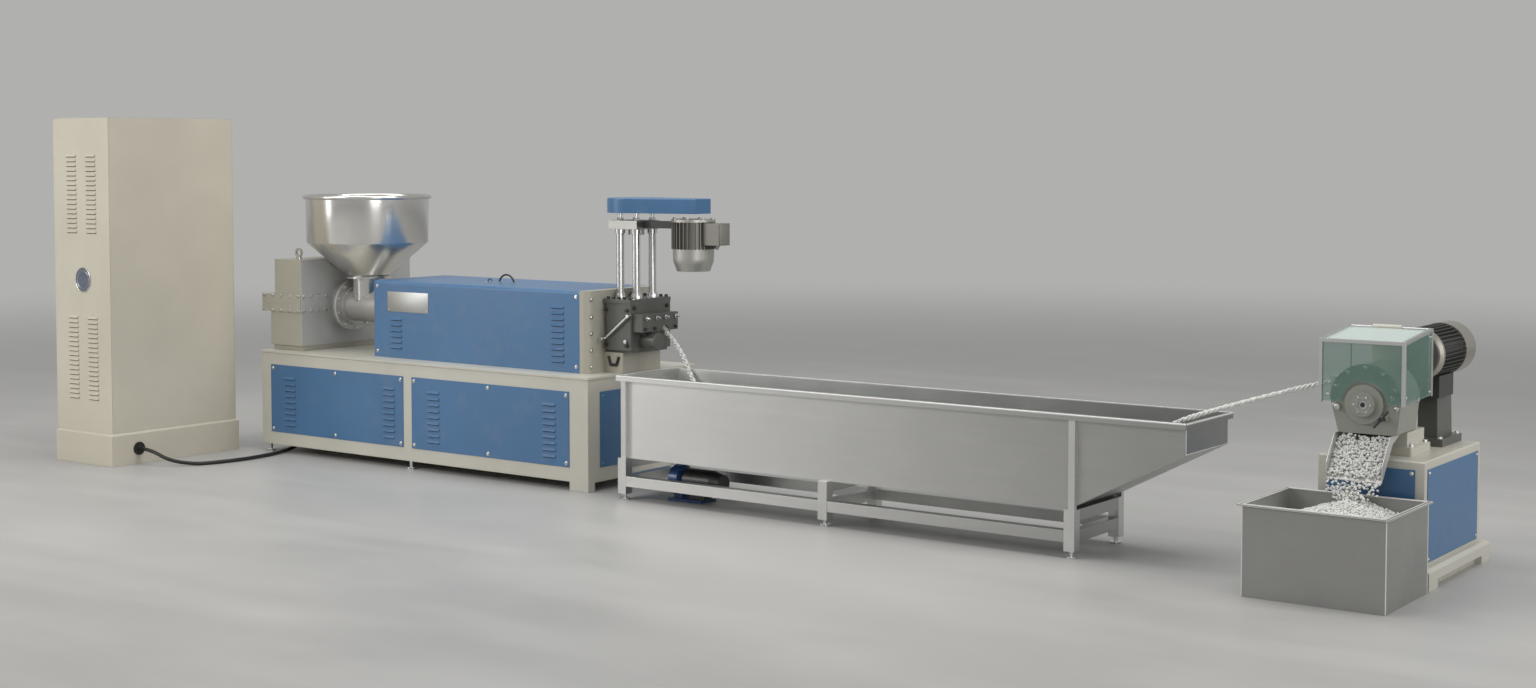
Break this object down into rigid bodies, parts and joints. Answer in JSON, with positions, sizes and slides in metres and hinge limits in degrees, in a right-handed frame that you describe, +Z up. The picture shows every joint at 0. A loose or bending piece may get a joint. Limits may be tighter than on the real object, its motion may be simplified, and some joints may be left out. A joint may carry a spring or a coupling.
{
  "type": "plastic recycling pelletizing line",
  "caption": "Fixed plastic recycling line: cabinet, extruder with hopper, die head, water trough, strand pelletizer with guard, and pellet bin.",
  "frame": {"origin": "on the floor, under the middle of the line's overall box", "axes": "+X along the line from the cabinet to the pelletizer, -Y the near side with the louvres and the chute, +Z up"},
  "size_m": [7.318, 1.952, 1.9],
  "materials": {
    "beige_paint": "semi-gloss powder coat",
    "blue_paint": "semi-gloss powder coat",
    "satin_steel": "satin ground stainless sheet",
    "polished_steel": "mirror polished stainless",
    "bright_steel": "hard chrome",
    "machined_steel": "turned and ground",
    "dark_iron": "dark grey machine enamel",
    "black_iron": "black enamel",
    "cast_aluminium": "as cast, lightly painted",
    "anodised_frame": "satin anodised",
    "grey_casting": "light grey enamel over casting",
    "pump_blue": "gloss enamel",
    "tinted_glass": "green tinted safety glass",
    "black_plastic": "moulded nylon",
    "cable_rubber": "round flexible cable",
    "white_plastic": "extruded plastic strand"
  },
  "bodies": {
    "line": {"barrel": "machined_steel", "barrel_cover": "blue_paint", "base_frame": "beige_paint", "base_panels": "blue_paint", "belt_cover": "blue_paint", "cabinet_back_panel": "beige_paint", "cabinet_plinth": "beige_paint", "cabinet_roof": "beige_paint", "cabinet_side_panels": "beige_paint", "cable_glands": "black_plastic", "casing_door": "grey_casting", "casing_pedestal": "beige_paint", "cover_handles": "black_plastic", "cutter_casing": "grey_casting", "die_head": "dark_iron", "die_hood": "dark_iron", "die_nozzle": "machined_steel", "die_plate": "dark_iron", "discharge_chute": "satin_steel", "door_hinges": "black_plastic", "drive_case": "dark_iron", "end_housing": "beige_paint", "feed_neck": "polished_steel", "feed_throat": "satin_steel", "gearbox_face": "satin_steel", "gearbox_lower": "beige_paint", "gearbox_upper": "beige_paint", "guard_bracket": "beige_paint", "head_lever": "machined_steel", "head_top_plate": "dark_iron", "hopper": "polished_steel", "lead_screw": "machined_steel", "levelling_feet": "bright_steel", "lifting_eye": "bright_steel", "motor_bracket": "dark_iron", "motor_pedestal": "dark_iron", "neck_flange": "polished_steel", "pellet_bin": "satin_steel", "pelletizer_base": "beige_paint", "pelletizer_motor": "cast_aluminium", "pelletizer_panels": "blue_paint", "pelletizer_plinth": "beige_paint", "plastic_strands": "white_plastic", "power_cable": "cable_rubber", "pump_body": "pump_blue", "pump_motor": "black_iron", "tower_columns": "bright_steel", "tower_motor": "cast_aluminium", "tower_plate": "machined_steel", "trough_floor": "satin_steel", "trough_legs": "satin_steel", "trough_rails": "satin_steel", "trough_rim": "satin_steel", "trough_sides": "satin_steel"},
    "cabinet_door": {"cabinet_door": "beige_paint", "door_handle": "black_plastic"},
    "guard": {"guard_frame": "anodised_frame", "guard_glass": "tinted_glass"},
    "rotor": {"cutter_rotor": "machined_steel"},
    "clamp": {"clamp_handle": "black_iron"}
  },
  "joints": [
    {"name": "cabinet_door_hinge", "type": "hinge", "parent": "line", "child": "cabinet_door", "pos_m": [-3.645, -0.126, 1], "axis": [0, 0, -1], "range_deg": [0, 110]},
    {"name": "guard_hinge", "type": "hinge", "parent": "line", "child": "guard", "pos_m": [3.37, 0.464, 0.993], "axis": [-1, 0, 0], "range_deg": [0, 75]},
    {"name": "rotor_spin", "type": "hinge", "parent": "line", "child": "rotor", "pos_m": [3.37, 0.266, 0.712], "axis": [0, 1, 0], "continuous": true},
    {"name": "clamp_turn", "type": "hinge", "parent": "line", "child": "clamp", "pos_m": [3.451, 0.136, 0.662], "axis": [0, 1, 0], "range_deg": [0, 180]}
  ]
}
